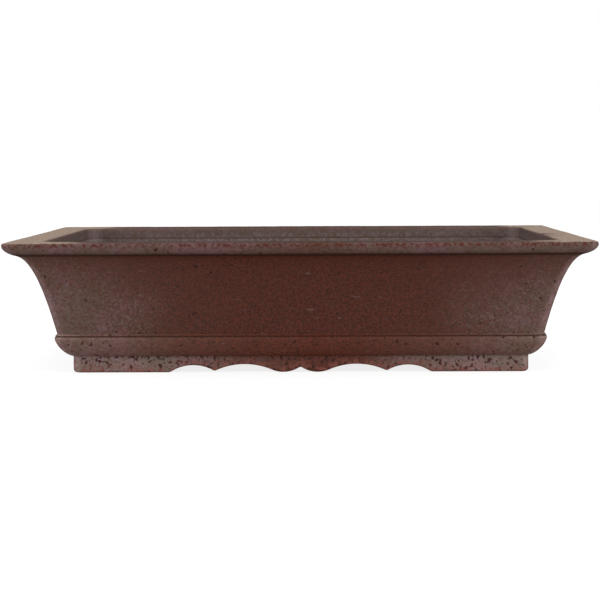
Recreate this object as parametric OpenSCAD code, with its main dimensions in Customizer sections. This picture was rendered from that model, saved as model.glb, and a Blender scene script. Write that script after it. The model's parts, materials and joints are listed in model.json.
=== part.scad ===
// Rectangular bonsai pot, slab-built stoneware.
//
// The pot is put together from slabs and strips of clay, mitred at the four
// corners and luted face to face, then fired. It stands on z = 0, X runs along
// its length and -Y is its front. Every section is drawn in [inset, height]:
// inset is measured inwards from the outermost line of the rim.

/* [Overall] */
// Length over the rim
pot_l = 450; // [350:1:600]
// Width over the rim
pot_w = 340; // [280:1:500]

/* [Rim] */
// Height of the rim strips
rim_h = 10.2; // [8:0.1:14]
// Width of the rim, from its nose to its inner face
rim_w = 27; // [22:0.5:40]
// How far the lip stands out past the top of the wall
lip_out = 9.4; // [5:0.1:14]
// Rounding of the lip's upper edge
nose_r = 2.2; // [1:0.1:4]
// Rounding of the rim's inner edge
rim_inner_r = 3; // [1:0.1:5]

/* [Wall] */
// Height of the wall slabs
wall_h = 62; // [40:1:120]
// How far the wall flares out from its foot to its top
wall_flare = 26.4; // [10:0.1:40]
// Thickness of the wall at its foot
wall_t = 11.2; // [7:0.1:16]

/* [Belt] */
// Height of the belt strips
belt_h = 18.2; // [12:0.1:26]
// How far the belt stands out past the foot of the wall
belt_out = 1.8; // [0.5:0.1:5]
// Height of the belt's fullest line above its lower edge
belt_tip_h = 15; // [8:0.1:18]

/* [Feet] */
// Height of the foot strips, from the table to the underside of the floor
foot_h = 13; // [9:0.5:30]
// Thickness of the foot strips
foot_t = 12; // [8:0.5:20]
// From the middle of a long side to the lowest line of the centre lobe
lobe_x = 13.4; // [8:0.1:20]
// Radius of the centre lobe
lobe_r = 23; // [18:0.5:30]
// From the lowest line of the centre lobe to the top of the inner arch
inner_arch_reach = 30.4; // [25:0.1:37]
// Height of the inner arch
inner_arch_h = 6.2; // [3:0.1:8]
// From the top of the inner arch to the top of the outer arch
outer_arch_reach = 40.2; // [33:0.1:49]
// Height of the outer arch
outer_arch_h = 5.5; // [3:0.1:8]
// Width of the outer arch along the table
outer_arch_w = 36; // [30:0.5:44]
// Size of the short sides' scallops against those of the long sides
side_scallops = 0.69; // [0.5:0.01:0.83]

/* [Floor] */
// Thickness of the floor slab
floor_t = 10; // [7:0.5:14]
// Diameter of the two drain holes
drain_d = 32; // [20:1:45]
// Distance between the drain holes' centres
drain_pitch = 184; // [110:1:221]
// Diameter of the four wire holes
wire_d = 8; // [5:0.5:12]
// Distance between the wire holes along the pot
wire_pitch_x = 108; // [60:1:150]
// Distance between the wire holes across the pot
wire_pitch_y = 120; // [60:1:144]

/* [Corners] */
// Corner radius of the rim, seen from above
rim_corner_r = 8; // [4:0.5:16]
// Corner radius of the wall's foot and of the belt, seen from above
wall_corner_r = 9; // [5:0.5:16]
// Corner radius of the feet, seen from above
foot_corner_r = 7; // [4:0.5:12]

/* [Coils] */
// Radius of the coils of clay worked into the four inner corners
corner_coil_r = 15; // [12:0.5:24]
// Radius of the coils of clay worked in where the floor meets the belt
floor_coil_r = 7; // [4:0.5:9]

/* [Hidden] */
$fn = 64;

// Steps in half a corner, and in the curves of the sections
corner_steps = 4;
wall_steps = 12;
inner_steps = 6;
lip_steps = 8;
round_steps = 4;
coil_steps = 6;

// Heights of the joints between the layers
floor_z = foot_h;
floor_top = floor_z + floor_t;
wall_z = foot_h + belt_h;
rim_z = wall_z + wall_h;
pot_h = rim_z + rim_h;

// Insets of the outer face, from the rim's nose inwards
wall_top_in = lip_out;
wall_foot_in = wall_top_in + wall_flare;
belt_in = wall_foot_in - belt_out;
// The inner face of belt and wall is plumb with the outer face of the feet
foot_in = wall_foot_in + wall_t;
foot_inner_in = foot_in + foot_t;

// The flat under the belt's lower edge
belt_edge = 0.6;
// Corner radius of the floor slab, a little more than the feet's, so that the
// belt keeps its thickness round the corner
floor_corner_r = foot_corner_r + 1;
// Corner radius inside the foot strips
foot_inner_r = 3;
// The floor's coils stay on the inner face of the belt
coil_r = min(floor_coil_r, wall_z - floor_top);

rim_colour = [0.36, 0.26, 0.24];
wall_colour = [0.31, 0.18, 0.14];
belt_colour = [0.33, 0.18, 0.15];
foot_colour = [0.35, 0.24, 0.23];
inner_colour = [0.36, 0.30, 0.28];

// ---- Curves in the plane ----

// A point of the cubic curve with end points a, d and handles b, c
function curve_at(a, b, c, d, t) =
    pow(1 - t, 3) * a + 3 * t * pow(1 - t, 2) * b + 3 * t * t * (1 - t) * c + pow(t, 3) * d;
function curve(a, b, c, d, steps) =
    [for (i = [0:steps]) curve_at(a, b, c, d, i / steps)];
function arc(centre, r, from, to, steps) =
    [for (i = [0:steps])
        let (a = from + (to - from) * i / steps) centre + r * [cos(a), sin(a)]];

// ---- Sections, as lists of [inset, height, corner radius] ----

// Outer face of the wall, from foot to top: steep below, swept out at the top
wall_outer = curve(
    [wall_foot_in, wall_z],
    [wall_foot_in - 0.27 * wall_flare, wall_z + 0.48 * wall_h],
    [wall_top_in + 0.42 * wall_flare, rim_z - 0.053 * wall_h],
    [wall_top_in, rim_z], wall_steps);
// Inner face of the wall, from foot to top, which ends at the rim's inner face
wall_inner = curve(
    [foot_in, wall_z],
    [foot_in - 0.33 * (foot_in - rim_w), wall_z + 0.40 * wall_h],
    [rim_w + 0.10 * (foot_in - rim_w), rim_z - 0.30 * wall_h],
    [rim_w, rim_z], inner_steps);
// How far up the wall a height is, from 0 at its foot to 1 at its top
function up_wall(z) = (z - wall_z) / wall_h;

function wall_section() = concat(
    [for (p = wall_outer)
        [p[0], p[1], wall_corner_r + (rim_corner_r - wall_corner_r) * up_wall(p[1])]],
    [for (i = [inner_steps:-1:0]) [wall_inner[i][0], wall_inner[i][1], floor_corner_r]]);

// Lip swept out from the wall to its nose, rounded over to the flat top, and
// rounded down again to the inner face
function rim_section() =
    let (
        lip = curve(
            [wall_top_in, rim_z],
            [0.24 * lip_out, rim_z + 0.22 * rim_h],
            [0, pot_h - nose_r - 0.21 * rim_h],
            [0, pot_h - nose_r], lip_steps),
        nose = arc([nose_r, pot_h - nose_r], nose_r, 180, 90, round_steps),
        inner = arc([rim_w - rim_inner_r, pot_h - rim_inner_r], rim_inner_r, 90, 0, round_steps))
    concat(
        [for (p = lip) [p[0], p[1], rim_corner_r]],
        [for (i = [1:round_steps]) [nose[i][0], nose[i][1], rim_corner_r - nose[i][0]]],
        [for (p = inner) [p[0], p[1], corner_coil_r + rim_w - p[0]]],
        [[rim_w, rim_z, corner_coil_r]]);

// Quarter-round belt: swept under to the feet below, rounded over on top
function belt_section() =
    let (
        tip_z = foot_h + belt_tip_h,
        low_in = foot_in - belt_edge,
        under = curve(
            [low_in, foot_h],
            [low_in - 0.59 * (low_in - belt_in), foot_h + 0.155 * belt_tip_h],
            [belt_in, tip_z - 0.225 * belt_tip_h],
            [belt_in, tip_z], lip_steps),
        over = curve(
            [belt_in, tip_z],
            [belt_in, wall_z - 0.4 * (wall_z - tip_z)],
            [belt_in + 0.3 * belt_out, wall_z],
            [wall_foot_in, wall_z], round_steps))
    concat(
        [for (p = under) [p[0], p[1],
            foot_corner_r + (wall_corner_r - foot_corner_r) * (low_in - p[0]) / (low_in - belt_in)]],
        [for (i = [1:round_steps]) [over[i][0], over[i][1], wall_corner_r]],
        [[foot_in, wall_z, floor_corner_r], [foot_in, foot_h, floor_corner_r]]);

// Coil in the angle between floor and belt, with a hollow quarter-round face
function floor_coil_section() =
    let (hollow = arc([foot_in, floor_top] + [1, 1] * coil_r, coil_r, 180, 270, coil_steps))
    concat(
        [[foot_in, floor_top, floor_corner_r]],
        [for (i = [coil_steps:-1:0])
            [hollow[i][0], hollow[i][1], corner_coil_r - (hollow[i][0] - foot_in)]]);

// ---- Outlines seen from above ----

// One side of a rounded rectangle, from the mitre at its left end to the mitre
// at its right end: half of each corner and the straight between them
function side_path(l, w, inset, r) =
    let (
        cx = l / 2 - inset - r,
        cy = w / 2 - inset - r,
        half = [for (i = [0:corner_steps]) 225 + 45 * i / corner_steps])
    concat(
        [for (a = half) [-cx + r * cos(a), -cy + r * sin(a)]],
        [for (i = [corner_steps:-1:0]) [cx - r * cos(half[i]), -cy + r * sin(half[i])]]);

function turned(points, a) =
    [for (p = points) [p[0] * cos(a) - p[1] * sin(a), p[0] * sin(a) + p[1] * cos(a)]];
// Drops the last point of a list, where the next list starts with it
function but_last(points) = [for (i = [0:len(points) - 2]) points[i]];

// The whole rounded rectangle of the pot at an inset
function plan(inset, r) = concat(
    but_last(side_path(pot_l, pot_w, inset, r)),
    but_last(turned(side_path(pot_w, pot_l, inset, r), 90)),
    but_last(turned(side_path(pot_l, pot_w, inset, r), 180)),
    but_last(turned(side_path(pot_w, pot_l, inset, r), 270)));

// ---- Solids ----

// Joins a list of rings, each with the same number of points, and closes both
// ends
module loft(rings) {
    count = len(rings);
    n = len(rings[0]);
    sides = [for (j = [0:count - 2]) for (i = [0:n - 1])
        let (a = j * n, b = a + n, k = (i + 1) % n)
        each [[a + i, b + i, b + k], [a + i, b + k, a + k]]];
    ends = [
        [for (i = [0:n - 1]) i],
        [for (i = [n - 1:-1:0]) (count - 1) * n + i]];
    polyhedron(points = [for (ring = rings) each ring], faces = concat(sides, ends));
}

// A strip with this section along the front of an l by w rectangle, cut to the
// mitre at both ends
module strip(l, w, section) {
    paths = [for (p = section) side_path(l, w, p[0], p[2])];
    loft([for (j = [0:len(paths[0]) - 1])
        [for (i = [len(section) - 1:-1:0])
            [paths[i][j][0], paths[i][j][1], section[i][1]]]]);
}

// Radius of an arc with this height over half its chord
function arc_r(half, h) = (half * half + h * h) / (2 * h);

// Lower edge of a foot strip, from the middle to the end of the outer arch:
// centre lobe, inner arch tangent to it, then the outer arch
function scallops(k) =
    let (
        inner_r = arc_r(inner_arch_reach, inner_arch_h) - lobe_r,
        outer_r = arc_r(outer_arch_w / 2, outer_arch_h),
        inner_c = [lobe_x + inner_arch_reach, inner_arch_h - inner_r],
        outer_c = [inner_c[0] + outer_arch_reach, outer_arch_h - outer_r],
        // the lobe turns into the inner arch on the line between their centres
        turn = atan2(lobe_r - inner_c[1], -inner_arch_reach),
        // the two arches meet where both circles have the same height
        gap = outer_c - inner_c,
        span = norm(gap),
        along = (span * span + inner_r * inner_r - outer_r * outer_r) / (2 * span),
        to_meet = acos(along / inner_r),
        inner_end = atan2(gap[1], gap[0]) + to_meet,
        meet = inner_c + inner_r * [cos(inner_end), sin(inner_end)],
        outer_start = atan2(meet[1] - outer_c[1], meet[0] - outer_c[0]),
        outer_end = asin(-outer_c[1] / outer_r))
    k * concat(
        but_last(arc([lobe_x, lobe_r], lobe_r, -90 - asin(lobe_x / lobe_r), -90, 5)),
        but_last(arc([lobe_x, lobe_r], lobe_r, -90, turn - 180, 4)),
        but_last(arc(inner_c, inner_r, turn, inner_end, 12)),
        arc(outer_c, outer_r, outer_start, outer_end, 10));

// A foot strip along the front of an l by w rectangle, with scallops of size k
module foot_strip(l, w, k) {
    edge = scallops(k);
    last = len(edge) - 1;
    outer = side_path(l, w, foot_in, foot_corner_r);
    inner = side_path(l, w, foot_inner_in, foot_inner_r);
    intersection() {
        linear_extrude(foot_h)
            polygon(concat(outer, [for (i = [len(inner) - 1:-1:0]) inner[i]]));
        rotate([90, 0, 0])
            linear_extrude(w)
                polygon(concat(
                    [for (i = [last:-1:0]) [-edge[i][0], edge[i][1]]],
                    [for (i = [1:last]) edge[i]],
                    [[l / 2, 0], [l / 2, foot_h], [-l / 2, foot_h], [-l / 2, 0]]));
    }
}

// A coil worked into the front left inner corner, on the faces of the walls
module corner_coil() {
    face = arc([1, 1] * floor_corner_r, floor_corner_r, 180, 270, 2 * corner_steps);
    hollow = arc([1, 1] * corner_coil_r, corner_coil_r, 270, 180, 2 * corner_steps);
    loft([for (p = wall_inner)
        [for (q = concat(face, hollow))
            [p[0] - pot_l / 2 + q[0], p[0] - pot_w / 2 + q[1], p[1]]]]);
}

module floor_slab() {
    color(inner_colour)
        translate([0, 0, floor_z])
            difference() {
                linear_extrude(floor_t)
                    polygon(plan(foot_in, floor_corner_r));
                for (x = [-1, 1]) {
                    translate([x * drain_pitch / 2, 0, -1])
                        cylinder(d = drain_d, h = floor_t + 2);
                    for (y = [-1, 1])
                        translate([x * wire_pitch_x / 2, y * wire_pitch_y / 2, -1])
                            cylinder(d = wire_d, h = floor_t + 2);
                }
            }
}

module foot_front() color(foot_colour) foot_strip(pot_l, pot_w, 1);
module foot_back() rotate(180) foot_front();
module foot_right() color(foot_colour) rotate(90) foot_strip(pot_w, pot_l, side_scallops);
module foot_left() rotate(180) foot_right();

module belt_front() color(belt_colour) strip(pot_l, pot_w, belt_section());
module belt_back() rotate(180) belt_front();
module belt_right() color(belt_colour) rotate(90) strip(pot_w, pot_l, belt_section());
module belt_left() rotate(180) belt_right();

module wall_front() color(wall_colour) strip(pot_l, pot_w, wall_section());
module wall_back() rotate(180) wall_front();
module wall_right() color(wall_colour) rotate(90) strip(pot_w, pot_l, wall_section());
module wall_left() rotate(180) wall_right();

module rim_front() color(rim_colour) strip(pot_l, pot_w, rim_section());
module rim_back() rotate(180) rim_front();
module rim_right() color(rim_colour) rotate(90) strip(pot_w, pot_l, rim_section());
module rim_left() rotate(180) rim_right();

module floor_coil_front() color(inner_colour) strip(pot_l, pot_w, floor_coil_section());
module floor_coil_back() rotate(180) floor_coil_front();
module floor_coil_right() color(inner_colour) rotate(90) strip(pot_w, pot_l, floor_coil_section());
module floor_coil_left() rotate(180) floor_coil_right();

module corner_coil_front_left() color(inner_colour) corner_coil();
module corner_coil_front_right() mirror([1, 0, 0]) corner_coil_front_left();
module corner_coil_back_left() mirror([0, 1, 0]) corner_coil_front_left();
module corner_coil_back_right() mirror([0, 1, 0]) corner_coil_front_right();

floor_slab();
foot_front();
foot_back();
foot_left();
foot_right();
belt_front();
belt_back();
belt_left();
belt_right();
wall_front();
wall_back();
wall_left();
wall_right();
rim_front();
rim_back();
rim_left();
rim_right();
corner_coil_front_left();
corner_coil_front_right();
corner_coil_back_left();
corner_coil_back_right();
floor_coil_front();
floor_coil_back();
floor_coil_left();
floor_coil_right();
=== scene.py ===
"""Looks of a rectangular, unglazed stoneware bonsai pot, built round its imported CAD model.

Every piece of clay is a strip with a section in [inset, height], carried along one side of the
pot from mitre to mitre. Insets are measured inwards from the rim's nose, heights from the table.
"""
import json
import math

import bpy
import numpy as np
from bpy.props import FloatProperty, FloatVectorProperty, IntProperty, PointerProperty
from mathutils import Euler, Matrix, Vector
from mathutils.geometry import delaunay_2d_cdt


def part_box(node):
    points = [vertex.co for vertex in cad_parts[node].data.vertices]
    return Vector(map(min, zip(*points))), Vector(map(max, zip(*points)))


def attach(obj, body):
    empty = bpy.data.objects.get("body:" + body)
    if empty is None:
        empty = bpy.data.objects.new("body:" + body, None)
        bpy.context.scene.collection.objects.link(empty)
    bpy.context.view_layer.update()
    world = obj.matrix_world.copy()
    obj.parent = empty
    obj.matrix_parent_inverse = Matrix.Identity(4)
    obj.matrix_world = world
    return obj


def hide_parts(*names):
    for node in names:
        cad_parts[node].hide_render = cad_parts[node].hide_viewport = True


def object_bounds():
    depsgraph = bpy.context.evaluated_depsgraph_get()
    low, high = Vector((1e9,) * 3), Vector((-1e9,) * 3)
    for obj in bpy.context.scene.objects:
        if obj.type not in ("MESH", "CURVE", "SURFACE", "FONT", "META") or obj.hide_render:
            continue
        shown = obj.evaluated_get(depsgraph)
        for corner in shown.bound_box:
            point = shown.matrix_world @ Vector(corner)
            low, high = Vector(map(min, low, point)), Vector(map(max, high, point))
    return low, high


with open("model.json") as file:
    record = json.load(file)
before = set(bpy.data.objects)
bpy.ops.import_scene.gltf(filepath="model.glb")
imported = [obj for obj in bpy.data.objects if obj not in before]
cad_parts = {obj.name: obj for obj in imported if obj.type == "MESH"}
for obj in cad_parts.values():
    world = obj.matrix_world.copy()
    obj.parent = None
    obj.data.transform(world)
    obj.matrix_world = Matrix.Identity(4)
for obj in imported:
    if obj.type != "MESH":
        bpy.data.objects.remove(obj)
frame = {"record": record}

bl_info = {
    "name": "Stoneware bonsai pot",
    "version": (1, 0, 0),
    "blender": (4, 5, 0),
    "location": "3D View > Sidebar > Bonsai pot",
    "description": "Builds a slab-built, unglazed stoneware bonsai pot piece by piece",
    "category": "Add Mesh",
}

MM = 0.001

# ---- What the CAD model gives ----

CAD_LOW, CAD_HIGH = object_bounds()
POT_L = CAD_HIGH.x - CAD_LOW.x
POT_W = CAD_HIGH.y - CAD_LOW.y
POT_H = CAD_HIGH.z


def inset_of(node):
    """How far a node's foremost face lies behind the rim's nose"""
    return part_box(node)[0].y - CAD_LOW.y


WALL_TOP_IN = inset_of("wall_front")
RIM_W = inset_of("corner_coil_front_left")
BELT_IN = inset_of("belt_front")
FOOT_IN = inset_of("floor_slab")
FOOT_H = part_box("foot_front")[1].z
FLOOR_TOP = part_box("floor_slab")[1].z
WALL_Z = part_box("wall_front")[0].z
RIM_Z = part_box("rim_front")[0].z
BORES = [m for m in frame["record"]["mounts"] if m["kind"] == "bore"]

# Each side is the front turned about the middle of the pot: its quarter turns, and whether
# it runs along the pot's length. Each corner is the front left one mirrored by its two signs
SIDES = {"front": (0, True), "right": (1, False), "back": (2, True), "left": (3, False)}
CORNERS = {"front_left": (1, 1), "front_right": (-1, 1), "back_left": (1, -1), "back_right": (-1, -1)}

# Each cubic curve's middle points, as shares of its way across and up: the first from its start,
# the second back from its end
WALL_OUTSIDE = ((0.27, 0.48), (0.42, 0.053))
WALL_INSIDE = ((0.33, 0.40), (0.10, 0.30))
LIP_CURVE = ((0.76, 0.2805), (0, 0.26775))
BELT_CURVE = ((0.59, 0.155), (0, 0.225))

# Mesh steps of the sections' stretches
WALL_STEPS = 44
INSIDE_STEPS = 30
LIP_STEPS = 22
NOSE_STEPS = 10
RIM_TOP_STEPS = 14
BELT_STEPS = 28
GROOVE_STEPS = 12
EDGE_STEPS = 8
FOOT_FACE_STEPS = 8

# The floor's mesh
FLOOR_STEP = 8 * MM
FLOOR_SPANS = 40
FLOOR_CORNER_STEPS = 8
HOLE_STEPS = 48
HOLE_EDGE_STEPS = 5

# Lengths of the clay's waves
SLOW_WAVE = 110 * MM
SHORT_WAVE = 12 * MM

# The middle of the painted shade line under the lip, where the lip shades the wall, in the section's plane
UNDER_LIP = (0.85 * WALL_TOP_IN, RIM_Z)

# Widths of the lip's rubbed red band, of the belt's painted glint lines and of the painted shade in the
# groove, and the depth of the grain
LIP_RUB = 1.9 * MM
BELT_GLINT = 0.38 * MM
GROOVE_SHADE = 0.8 * MM
GRAIN_DEPTH = 0.4 * MM

# The ash is thinnest a little right of the middle
ASH_SHIFT = 8 * MM

# The studio: a big soft light above and behind, and one at each side in front
TABLE_SIZE = 12
TABLE_GREY = 0.22
TABLE_GLOW = 0.8
SKY_IN_GLOSS = 0.05
LIGHTS = {  # name: place in metres, size in metres, power in watts
    "top_box": ((0, 0.3, 1.6), (2.2, 1.4), 9),
    "left_box": ((-1.3, -0.75, 0.45), (0.6, 0.6), 13),
    "right_box": ((1.3, -0.75, 0.45), (0.6, 0.6), 16),
}
SENSOR = 36
LENS = 106.84
CAMERA_PLACE = Vector((15.6, -1501.05, 163.4)) * MM
CAMERA_PITCH, CAMERA_TURN, CAMERA_ROLL = (math.radians(a) for a in (90 - 4.438, 0.656, 0.259))


# ---- Sizes and colours that a user would change ----

def length(name, description, millimetres):
    """A size in metres, given here in millimetres"""
    return FloatProperty(
        name=name, description=description, default=millimetres * MM, min=0.0,
        precision=5, subtype="DISTANCE", unit="LENGTH")


def colour(name, description, value):
    """A linear colour"""
    return FloatVectorProperty(
        name=name, description=description, default=value, size=3, min=0.0, max=1.0, subtype="COLOR")


class PotSizes(bpy.types.PropertyGroup):
    """Sizes of the fired clay that the CAD boxes don't give"""

    lip_nose: length("Lip nose", "Rounding of the lip's upper edge", 2.2)
    rim_inner: length("Rim's inner edge", "Rounding of the rim's inner edge", 3)
    rim_corner: length("Rim corner", "Corner radius of the rim, seen from above", 8)
    wall_corner: length("Wall corner", "Corner radius of the wall's foot and the belt", 9)
    inner_corner: length("Inner corner", "Corner radius inside belt and wall", 8)
    coil_corner: length("Coil radius", "Hollow radius of the coils in the upright corners", 15)
    foot_corner: length("Foot corner", "Corner radius of the feet", 7)
    foot_inner_corner: length("Foot inner corner", "Corner radius inside the feet", 3)
    belt_out: length("Belt overhang", "How far the belt stands out past the wall", 1.8)
    belt_tip: length("Belt tip", "Height of the belt's fullest line above the feet", 14.9)
    # The dark line is painted shade: this is the width of the shade put under the lip
    lip_shade: length("Dark line", "Width of the ash-free line under the lip", 3.0)
    groove_w: length("Groove width", "Width of the scored line between belt and wall", 1.0)
    groove_d: length("Groove depth", "Depth of the scored line between belt and wall", 0.55)
    foot_t: length("Foot thickness", "Thickness of the foot strips", 12)
    foot_round: length("Foot edge", "Rounding of the feet's lower outer edge", 2.6)
    foot_soft: length("Foot inner edge", "Rounding of the feet's lower inner edge", 1.5)
    lobe_x: length("Lobe place", "From the middle to the lowest line of the centre lobe", 13.4)
    lobe_r: length("Lobe radius", "Radius of the centre lobe", 23)
    inner_reach: length("Inner arch place", "From the lobe's lowest line to the inner arch's top", 30.4)
    inner_h: length("Inner arch height", "Height of the inner arch", 6.2)
    outer_reach: length("Outer arch place", "From the inner arch's top to the outer arch's top", 40.2)
    outer_h: length("Outer arch height", "Height of the outer arch", 5.5)
    outer_w: length("Outer arch width", "Width of the outer arch along the table", 36)
    side_scallops: FloatProperty(
        name="Side scallops", description="Size of the short sides' scallops against the long ones'",
        default=0.69, min=0.3, max=1.0, subtype="FACTOR")
    hole_round: length("Hole edge", "Rounding of the floor's holes", 1.5)
    unevenness: length("Unevenness", "Slow waves left by pressing and firing", 0.12)
    tooling: length("Tooling", "Short waves left by the tool and the sponge", 0.05)
    mesh_step: length("Mesh step", "Spacing of the mesh along the sides", 2)
    corner_steps: IntProperty(
        name="Corner steps", description="Mesh steps in half a corner", default=14, min=4, max=48)


class PotColours(bpy.types.PropertyGroup):
    """Linear colours of the fired clay"""

    clay: colour("Clay", "Red-brown body", (0.090, 0.0168, 0.0066))
    deep: colour("Deep clay", "Darker grain", (0.053, 0.0125, 0.0056))
    ash: colour("Ash", "Lilac-grey kiln ash", (0.148, 0.090, 0.091))
    moss: colour("Green ash", "Greenish-grey kiln ash", (0.112, 0.083, 0.063))
    iron: colour("Iron", "Dark red-brown iron spots", (0.034, 0.0065, 0.004))
    brick: colour("Brick", "Warm red clay where the ash has worn off", (0.150, 0.048, 0.034))
    red: colour("Dark red", "Dark red clay along the lip", (0.080, 0.014, 0.009))
    # Painted sheen: the lighter band that the side lights give the upright corners
    pale: colour("Pale corner", "Paler lilac clay on the upright corners", (0.200, 0.128, 0.130))
    # Beige ash on the rim's ends, brightened to stand in for the light on the rim's top as well
    sand: colour("Sand", "Beige ash on the ends of the rim", (0.47, 0.345, 0.265))
    # Painted shade: the dark colour put in the belt's groove and under the lip
    line: colour("Sunk line", "Bare dark clay in sunk lines", (0.036, 0.012, 0.007))
    lining: colour("Lining", "Blue-grey ash on the inner faces", (0.150, 0.117, 0.115))
    # Painted highlight: pinkish glints along the edges of the belt's groove
    rub: colour("Rubbed edge", "Pinkish clay on rubbed edges", (0.330, 0.200, 0.170))


# ---- Curves in the plane of a section ----

def cubic(points, steps):
    """Cubic curve: the four points weighted by (1-t)^3, 3t(1-t)^2, 3t^2(1-t) and t^3"""
    t = np.linspace(0, 1, steps + 1)[:, None]
    a, b, c, d = np.array(points, float)
    return (1 - t) ** 3 * a + 3 * t * (1 - t) ** 2 * b + 3 * t * t * (1 - t) * c + t ** 3 * d


def bent(start, end, shape, steps):
    """Cubic curve between two ends: its middle points are the start plus the first pair of shares
    of the way, and the end minus the second pair"""
    start, end = np.array(start, float), np.array(end, float)
    way = end - start
    return cubic([start, start + shape[0] * way, end - shape[1] * way, end], steps)


def arc(centre, radius, start, end, steps):
    """Circular arc: the centre plus the radius times the cosine and sine of the angle in degrees"""
    a = np.radians(np.linspace(start, end, steps + 1))
    return np.array(centre, float) + radius * np.column_stack([np.cos(a), np.sin(a)])


def line(a, b, steps=1):
    """Straight line: the two ends mixed by t"""
    t = np.linspace(0, 1, steps + 1)[:, None]
    return (1 - t) * np.array(a, float) + t * np.array(b, float)


def chain(*curves):
    """Curves end to end, without the points that they share"""
    return np.concatenate([curves[0], *(c[1:] for c in curves[1:])])


def run(points, corner, inside=0.0, lift=0.0):
    """A smooth stretch of a section: rows of inset, height, corner radius, inside, lift"""
    one = np.ones(len(points))
    return np.column_stack([points, corner * one, inside * one, lift * one])


def closed(*runs):
    """Runs joined into one closed section, and the rows where they meet, which stay sharp"""
    starts = np.cumsum([0] + [len(r) - 1 for r in runs[:-1]])
    return np.concatenate([r[:-1] for r in runs]), starts


# ---- The strips' way round the pot ----

def stations(straight, corner_steps):
    """Places along one side, from mitre to mitre, as shares of the straight (-1 to 1) and angles:
    half a corner, the straight, half a corner. One more place past each mitre, on the same
    corner, gives the slope there"""
    mitre, front = 225, 270
    half = np.linspace(mitre, front, corner_steps + 1)
    step = half[1] - half[0]
    left = np.concatenate([[mitre - step], half])
    right = 2 * front - left[::-1]
    share = np.linspace(-1, 1, straight + 1)[1:-1]
    angles = np.radians(np.concatenate([left, np.full(len(share), front), right]))
    shares = np.concatenate([np.full(len(left), -1.0), share, np.full(len(right), 1.0)])
    return shares, np.cos(angles), np.sin(angles)


def side_grid(rows, places, long_side, edge_height=None):
    """Points of a strip before it is turned to its side: x is the share of the corner centre's
    distance plus the corner radius times the cosine, y the same with the sine, z the height,
    raised by its lift times the height of the scalloped edge at x"""
    l, w = (POT_L, POT_W) if long_side else (POT_W, POT_L)
    shares, cosines, sines = places
    inset, height, corner, _, lift = (rows[:, k:k + 1] for k in range(5))
    x = shares * (l / 2 - inset - corner) + corner * cosines
    y = -(w / 2 - inset - corner) + corner * sines
    z = height + np.zeros_like(x)
    if edge_height is not None:
        z = z + lift * edge_height(x)
    return np.stack([x, y, z], axis=-1)


def turned(points, quarters):
    """Points turned about the middle of the pot by quarter turns"""
    c, s = [(1, 0), (0, 1), (-1, 0), (0, -1)][quarters % 4]
    x, y = points[..., 0], points[..., 1]
    out = points.copy()
    out[..., 0] = c * x - s * y
    out[..., 1] = s * x + c * y
    return out


# ---- Unevenness of hand-pressed, fired clay ----

def waves(points, wavelength, seed):
    """A smooth field between -1 and 1: the hyperbolic tangent of a sum of sine waves that run in
    random directions, with lengths about the given one and random phases"""
    count = 12
    rng = np.random.default_rng(seed)
    ways = rng.normal(size=(count, 3))
    ways /= np.linalg.norm(ways, axis=1)[:, None] * wavelength * rng.uniform(0.7, 1.5, count)[:, None]
    total = np.sin(2 * math.pi * points @ ways.T + rng.uniform(0, 2 * math.pi, count)).sum(-1)
    return np.tanh(total / math.sqrt(count))


def worked(points, sizes):
    """True points moved as hand work and the kiln move them: slow and short waves in each
    direction, the upright ones fading to nothing at the table. The points are drawn in first by as
    much as the waves may push out"""
    push = sizes.unevenness + sizes.tooling
    reach = np.array([POT_L / 2, POT_W / 2, POT_H])
    up = points[..., 2] / POT_H
    out = points * (1 - push / reach)
    for axis in range(3):
        field = (sizes.unevenness * waves(points, SLOW_WAVE, axis)
                 + sizes.tooling * waves(points, SHORT_WAVE, axis + 10))
        out[..., axis] += field * (np.clip(up, 0, 1) if axis == 2 else 1)
    return out


# ---- Meshes ----

def put_piece(name, points, faces, normals=None, attributes=None, flat=0):
    """A mesh object from arrays: points, faces as lists of equal-length rows, a normal for every
    face corner (zero where Blender's own is right), values at the points, and the number of last
    faces that are shaded flat"""
    mesh = bpy.data.meshes.new(name)
    counts = np.concatenate([np.full(len(f), f.shape[1]) for f in faces])
    corners = np.concatenate([f.ravel() for f in faces])
    mesh.vertices.add(len(points))
    mesh.vertices.foreach_set("co", points.astype(np.float32).ravel())
    mesh.loops.add(len(corners))
    mesh.loops.foreach_set("vertex_index", corners.astype(np.int32))
    mesh.polygons.add(len(counts))
    mesh.polygons.foreach_set("loop_start", (np.cumsum(counts) - counts).astype(np.int32))
    smooth = np.arange(len(counts)) < len(counts) - flat
    mesh.polygons.foreach_set("use_smooth", smooth)
    for key, values in (attributes or {}).items():
        layer = mesh.attributes.new(key, "FLOAT", "POINT")
        layer.data.foreach_set("value", values.astype(np.float32).ravel())
    mesh.update(calc_edges=True)
    mesh.validate()
    if normals is not None:
        mesh.normals_split_custom_set(normals.astype(np.float32))
    made = bpy.data.objects.new(name, mesh)
    bpy.context.scene.collection.objects.link(made)
    return made


def unit(v):
    """Vectors divided by their lengths"""
    return v / np.maximum(np.linalg.norm(v, axis=-1, keepdims=True), 1e-12)


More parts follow.
